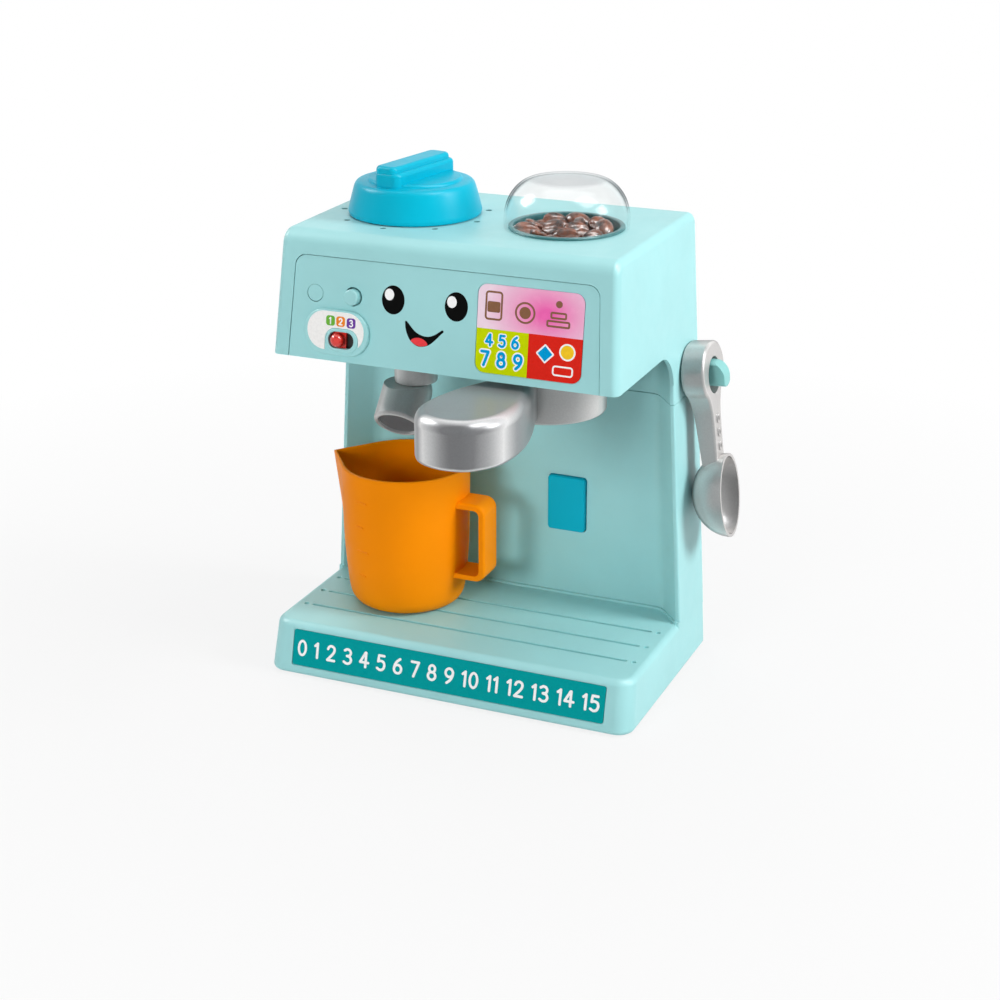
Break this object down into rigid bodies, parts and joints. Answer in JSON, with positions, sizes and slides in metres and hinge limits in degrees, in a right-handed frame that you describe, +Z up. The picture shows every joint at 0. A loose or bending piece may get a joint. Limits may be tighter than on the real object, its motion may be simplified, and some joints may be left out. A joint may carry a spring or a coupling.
{
  "type": "toy coffee maker",
  "caption": "Pretend espresso machine with a dial, a bean dome, a swinging brew handle, a steam wand, press buttons, a stage switch, a hanging scoop and a jug.",
  "frame": {"origin": "middle of the whole part's footprint, at the height of the feet's undersides", "axes": "+Z up, -Y to the front, where the face and the brew handle are, +X to the machine's right side as the viewer sees it, where the scoop hangs"},
  "size_m": [0.2222, 0.1806, 0.2676],
  "materials": {
    "teal_plastic": "satin moulded plastic, pale mint teal",
    "teal_label": "printed label, deep teal with a row of white numbers",
    "white_label": "printed label, white with three coloured number spots",
    "screen_label": "printed label in pink, lime and red fields",
    "blue_plastic": "satin moulded plastic, sky blue",
    "silver_plastic": "silver metallic plastic",
    "orange_plastic": "satin moulded plastic, orange",
    "red_plastic": "glossy moulded plastic, red",
    "clear_plastic": "clear transparent plastic",
    "brown_plastic": "glossy dark brown plastic",
    "black_plastic": "matt black plastic",
    "rubber": "dark grey rubber",
    "steel": "zinc-plated steel",
    "cell_can": "plain wrapped cell can",
    "board": "green circuit board"
  },
  "bodies": {
    "machine": {"base_shell": "teal_plastic", "base_cover": "teal_plastic", "battery_box": "teal_plastic", "battery_door": "teal_plastic", "column_shell": "teal_plastic", "head_shell": "teal_plastic", "head_underside": "teal_plastic", "front_panel": "teal_plastic", "stage_plate": "teal_plastic", "rear_cover": "teal_plastic", "bean_well": "teal_plastic", "scoop_peg": "teal_plastic", "strip_label": "teal_label", "stage_label": "white_label", "screen_label": "screen_label", "brew_hub": "silver_plastic", "wand_collar": "silver_plastic", "dome": "clear_plastic", "bean_bed": "brown_plastic", "button_flush_contact": "black_plastic", "button_proud_contact": "black_plastic", "stage_switch": "black_plastic", "cup_switch": "black_plastic", "speaker": "black_plastic", "foot_1": "rubber", "foot_2": "rubber", "foot_3": "rubber", "foot_4": "rubber", "base_screw_1": "steel", "base_screw_2": "steel", "base_screw_3": "steel", "base_screw_4": "steel", "door_screw": "steel", "rear_screw_1": "steel", "rear_screw_2": "steel", "rear_screw_3": "steel", "rear_screw_4": "steel", "portafilter_keeper": "steel", "contact_left": "steel", "contact_right": "steel", "battery_1": "cell_can", "battery_2": "cell_can", "battery_3": "cell_can", "circuit_board": "board"},
    "dial": {"dial_knob": "blue_plastic", "dial_keeper": "black_plastic", "dial_screw": "steel"},
    "portafilter": {"portafilter_basket": "silver_plastic", "portafilter_handle": "silver_plastic"},
    "wand": {"wand_nozzle": "silver_plastic"},
    "flush_button": {"button_flush": "teal_plastic"},
    "proud_button": {"button_proud": "teal_plastic"},
    "slider": {"stage_slider": "red_plastic"},
    "pad": {"cup_pad": "blue_plastic"},
    "measuring_scoop": {"scoop": "silver_plastic"},
    "milk_jug": {"jug": "orange_plastic"}
  },
  "joints": [
    {"name": "dial_spin", "type": "hinge", "parent": "machine", "child": "dial", "pos_m": [-0.0511, 0.03014, 0.25], "axis": [0, 0, 1], "continuous": true},
    {"name": "portafilter_swing", "type": "hinge", "parent": "machine", "child": "portafilter", "pos_m": [0.0269, 0.01914, 0.163], "axis": [0, 0, 1], "range_deg": [-24.2, 35.8]},
    {"name": "wand_swivel", "type": "hinge", "parent": "machine", "child": "wand", "pos_m": [-0.0431, 0.01114, 0.165], "axis": [0, 0, 1], "range_deg": [-30, 10]},
    {"name": "button_flush_press", "type": "slide", "parent": "machine", "child": "flush_button", "axis": [0, 0.9913, -0.1318], "range_m": [0, 0.0012], "stiffness_N_per_m": 300, "springref_m": -0.0005},
    {"name": "button_proud_press", "type": "slide", "parent": "machine", "child": "proud_button", "axis": [0, 0.9913, -0.1318], "range_m": [0, 0.0012], "stiffness_N_per_m": 300, "springref_m": -0.0005},
    {"name": "stage_slide", "type": "slide", "parent": "machine", "child": "slider", "axis": [1, 0, 0], "range_m": [0, 0.0056]},
    {"name": "cup_pad_press", "type": "slide", "parent": "machine", "child": "pad", "axis": [0, 1, 0], "range_m": [0, 0.002], "stiffness_N_per_m": 300, "springref_m": -0.0005},
    {"name": "scoop_swing", "type": "hinge", "parent": "machine", "child": "measuring_scoop", "pos_m": [0.08983, 0.07264, 0.15938], "axis": [0.9983, 0, 0.0584], "range_deg": [-20, 20]},
    {"name": "jug_slide", "type": "slide", "parent": "machine", "child": "milk_jug", "axis": [0, -1, 0], "range_m": [0, 0.105]}
  ]
}
